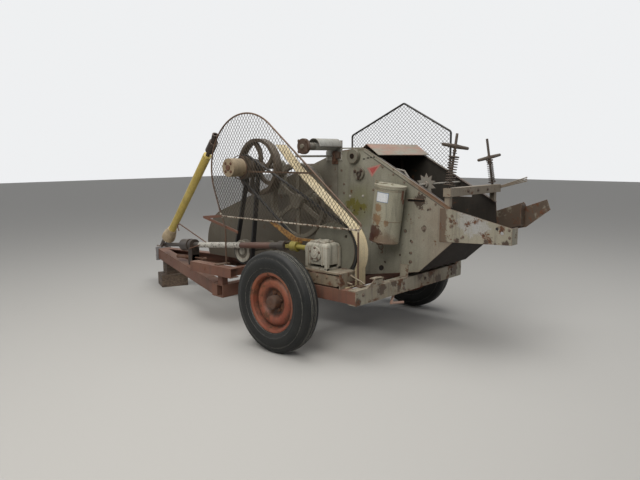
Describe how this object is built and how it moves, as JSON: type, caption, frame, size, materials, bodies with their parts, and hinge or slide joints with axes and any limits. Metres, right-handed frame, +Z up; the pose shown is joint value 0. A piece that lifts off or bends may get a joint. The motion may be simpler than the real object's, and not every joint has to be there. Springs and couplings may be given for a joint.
{
  "type": "square baler",
  "caption": "Towed square baler with mesh-guarded flywheel drive, swinging ram, open feed throat, spring-loaded chute, A-frame drawbar and rubber-tyred wheels.",
  "frame": {"origin": "on the floor, at the middle of the machine's overall length and width", "axes": "+Y forward to the hitch, +X to the machine's right, +Z up"},
  "size_m": [1.944, 4.2, 1.884],
  "materials": {
    "frame_paint": "worn light grey paint over rust",
    "frame_rust": "dark red-brown paint and rust",
    "hitch": "worn grey paint",
    "wood": "dark weathered wood",
    "rim": "faded orange-red paint with rust",
    "tyre": "dusty black rubber",
    "body_paint": "pale grey-green paint with rust spots",
    "cover": "light grey worn paint",
    "worn_steel": "scoured sheet steel",
    "beam": "grey paint and rust",
    "spindle": "dark greased steel",
    "guard_rod": "dark paint and rust",
    "guard_mesh": "weathered wire",
    "cream": "cream paint with rust",
    "black_rod": "black paint",
    "mesh_right": "weathered wire",
    "cast": "pale grey painted casting",
    "bearing": "dark oily casting",
    "wheel_iron": "dark painted cast iron",
    "disc": "light grey paint",
    "belt": "matt black rubber",
    "shaft": "worn brown and white paint",
    "stub": "yellow-green paint",
    "input_yellow": "worn yellow paint",
    "cone": "tan plastic",
    "yoke": "dark forged steel",
    "housing": "grey paint",
    "can": "pale grey paint with rust low down",
    "handle": "worn paint and rust"
  },
  "bodies": {
    "machine": {"rear_beam": "frame_paint", "rails": "frame_rust", "outriggers": "frame_rust", "cross_beam": "frame_rust", "drawbar": "frame_rust", "hitch_plate": "hitch", "blocks": "wood", "axle": "frame_rust", "side_plate_left": "body_paint", "side_plate_right": "body_paint", "front_cover": "cover", "floor": "worn_steel", "hood": "cover", "exit_rails": "body_paint", "tension_beam": "beam", "spindles": "spindle", "springs": "spindle", "guard_frame_left": "guard_rod", "guard_mesh_left": "guard_mesh", "guard_stays": "guard_rod", "belt_guard": "cream", "guard_frame_right": "black_rod", "guard_mesh_right": "mesh_right", "gearbox": "cast", "gearbox_bracket": "frame_paint", "bearings": "bearing", "bearing_stand": "bearing", "belts": "belt", "top_housing": "housing", "twine_can": "can", "crank_handle": "handle"},
    "wheel_left": {"rim_left": "rim", "tyre_left": "tyre"},
    "wheel_right": {"rim_right": "rim", "tyre_right": "tyre"},
    "flywheel_body": {"flywheel": "wheel_iron"},
    "pulley_body": {"lower_pulley": "wheel_iron"},
    "gear_body": {"gear_wheel": "wheel_iron"},
    "disc_body": {"drive_disc": "disc"},
    "shaft_body": {"drive_shaft": "shaft"},
    "stub_body": {"input_stub": "stub"},
    "input_body": {"input_tube": "input_yellow", "input_cone": "cone", "input_yokes": "yoke"},
    "lid_body": {"can_lid": "can"},
    "ram_body": {"ram": "worn_steel"}
  },
  "joints": [
    {"name": "wheel_left_spin", "type": "hinge", "parent": "machine", "child": "wheel_left", "pos_m": [-0.892, -0.7, 0.372], "axis": [1, 0, 0], "continuous": true},
    {"name": "wheel_right_spin", "type": "hinge", "parent": "machine", "child": "wheel_right", "pos_m": [0.892, -0.7, 0.372], "axis": [1, 0, 0], "continuous": true},
    {"name": "flywheel_spin", "type": "hinge", "parent": "machine", "child": "flywheel_body", "pos_m": [-0.362, 0.05, 1.325], "axis": [1, 0, 0], "continuous": true},
    {"name": "pulley_spin", "type": "hinge", "parent": "machine", "child": "pulley_body", "pos_m": [-0.424, 0.193, 0.591], "axis": [1, 0, 0], "continuous": true},
    {"name": "gear_spin", "type": "hinge", "parent": "machine", "child": "gear_body", "pos_m": [-0.295, -0.35, 1.05], "axis": [1, 0, 0], "continuous": true},
    {"name": "disc_spin", "type": "hinge", "parent": "machine", "child": "disc_body", "pos_m": [-0.52, -0.94, 0.738], "axis": [1, 0, 0], "continuous": true},
    {"name": "shaft_spin", "type": "hinge", "parent": "machine", "child": "shaft_body", "pos_m": [-0.235, 1.73, 0.472], "axis": [-0.1661, -0.9796, 0.1133], "continuous": true},
    {"name": "stub_spin", "type": "hinge", "parent": "machine", "child": "stub_body", "pos_m": [-0.625, -0.57, 0.738], "axis": [0, -1, 0], "continuous": true},
    {"name": "input_fold", "type": "hinge", "parent": "machine", "child": "input_body", "pos_m": [-0.235, 1.73, 0.472], "axis": [0.9826, -0.1548, 0.1023], "range_deg": [-130, 0]},
    {"name": "lid_hinge", "type": "hinge", "parent": "machine", "child": "lid_body", "pos_m": [-0.11, -1.205, 1.1963], "axis": [0, 0.9914, 0.1305], "range_deg": [0, 80]},
    {"name": "ram_swing", "type": "hinge", "parent": "machine", "child": "ram_body", "pos_m": [0.27, -0.78, 1.415], "axis": [1, 0, 0], "range_deg": [-18, 18]}
  ],
  "couplings": [
    {"joint": "pulley_spin", "follows": "flywheel_spin", "ratio": 0.55},
    {"joint": "disc_spin", "follows": "flywheel_spin", "ratio": 0.475},
    {"joint": "shaft_spin", "follows": "flywheel_spin", "ratio": 0.475},
    {"joint": "stub_spin", "follows": "flywheel_spin", "ratio": 0.475}
  ]
}
